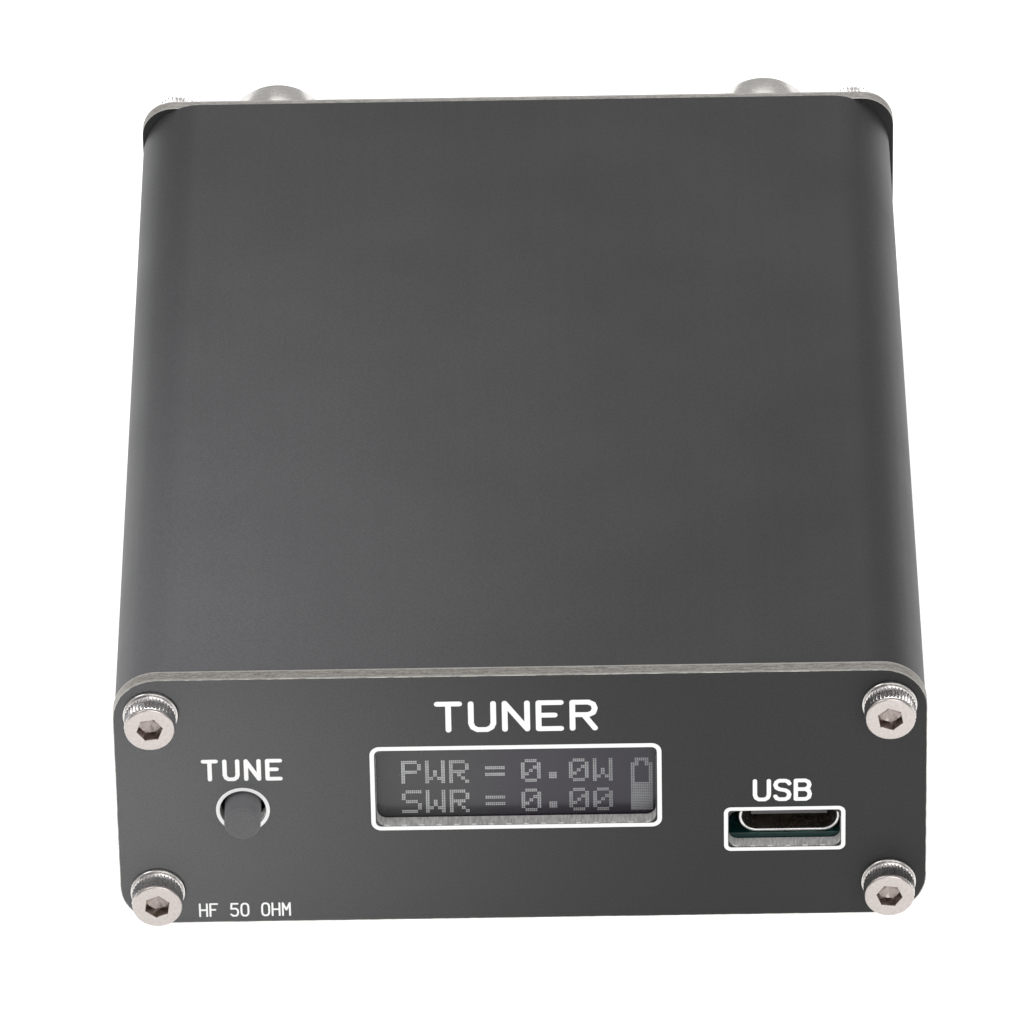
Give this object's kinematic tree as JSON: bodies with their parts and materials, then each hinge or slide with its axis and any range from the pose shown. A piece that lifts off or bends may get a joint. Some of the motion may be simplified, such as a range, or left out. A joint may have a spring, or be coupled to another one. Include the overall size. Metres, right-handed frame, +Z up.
{
  "type": "antenna tuner",
  "caption": "Flat black extruded case with a front display window, tune button and USB slot, and RF jacks and a control socket on the rear panel.",
  "frame": {"origin": "centre of the case tube's underside", "axes": "+X to the right seen from the front panel, +Y to the rear panel along the case, +Z up"},
  "size_m": [0.0714, 0.1164, 0.0261],
  "materials": {
    "black_anodised": "bead-blasted, black anodised satin",
    "panel_black": "black solder mask on glass-epoxy board, white printed legends, tan cut edges",
    "screw_steel": "stainless, knurled heads",
    "spring_steel": "plated spring steel",
    "button_black": "matte black moulded",
    "switch_black": "moulded black",
    "switch_metal": "stamped, tinned",
    "tinned_lead": "tin plated",
    "display_glass": "dark display glass with grey lit pixels",
    "board_blue": "blue solder mask",
    "gold_pin": "gold plated",
    "usb_steel": "nickel-plated drawn shell",
    "usb_black": "moulded black",
    "board_green": "green solder mask",
    "jack_nickel": "nickel plated, turned",
    "insulator_white": "waxy white",
    "copper_wire": "enamelled copper wire",
    "core_yellow": "painted iron powder",
    "core_grey": "bare ferrite",
    "relay_white": "moulded",
    "capacitor_tan": "fired ceramic",
    "chip_black": "moulded epoxy",
    "battery_foil": "laminated foil pouch",
    "battery_yellow": "board under yellow tape",
    "tape_white": "foam tape",
    "connector_cream": "moulded nylon",
    "wire_red": "silicone insulation",
    "wire_black": "silicone insulation"
  },
  "bodies": {
    "tuner_body": {"case_tube": "black_anodised", "front_panel": "panel_black", "rear_panel": "panel_black", "front_screws": "screw_steel", "rear_screws": "screw_steel", "front_spring_washers": "spring_steel", "rear_spring_washers": "spring_steel", "tune_switch_housing": "switch_black", "tune_switch_cover": "switch_metal", "tune_switch_dome": "spring_steel", "tune_switch_pins": "tinned_lead", "display_glass": "display_glass", "display_board": "board_blue", "display_header": "switch_black", "display_pins": "gold_pin", "usb_shell": "usb_steel", "usb_tongue": "usb_black", "usb_contacts": "gold_pin", "main_board": "board_green", "input_jack_body": "jack_nickel", "input_jack_insulator": "insulator_white", "input_jack_contact": "gold_pin", "input_lead": "copper_wire", "output_jack_body": "jack_nickel", "output_jack_insulator": "insulator_white", "output_jack_contact": "gold_pin", "output_lead": "copper_wire", "jack_nuts": "jack_nickel", "jack_lock_washers": "spring_steel", "jack_ground_tags": "tinned_lead", "control_jack_housing": "switch_black", "control_jack_bushing": "jack_nickel", "control_jack_contacts": "gold_pin", "inductor_cores": "core_yellow", "inductor_windings": "copper_wire", "inductor_relays": "relay_white", "tuning_capacitors": "capacitor_tan", "capacitor_relays": "relay_white", "network_relay": "relay_white", "coupler_cores": "core_grey", "coupler_windings": "copper_wire", "controller_chip": "chip_black", "controller_leads": "tinned_lead", "relay_driver_chips": "chip_black", "relay_driver_leads": "tinned_lead", "charger_chip": "chip_black", "power_inductor": "core_grey", "battery_cell": "battery_foil", "battery_protection_board": "battery_yellow", "battery_tape": "tape_white", "battery_socket": "connector_cream", "battery_plug": "connector_cream", "battery_wire_positive": "wire_red", "battery_wire_negative": "wire_black"},
    "button": {"tune_button": "button_black"}
  },
  "joints": [
    {"name": "tune_press", "type": "slide", "parent": "tuner_body", "child": "button", "axis": [0, 1, 0], "range_m": [0, 0.00025], "stiffness_N_per_m": 6000}
  ]
}
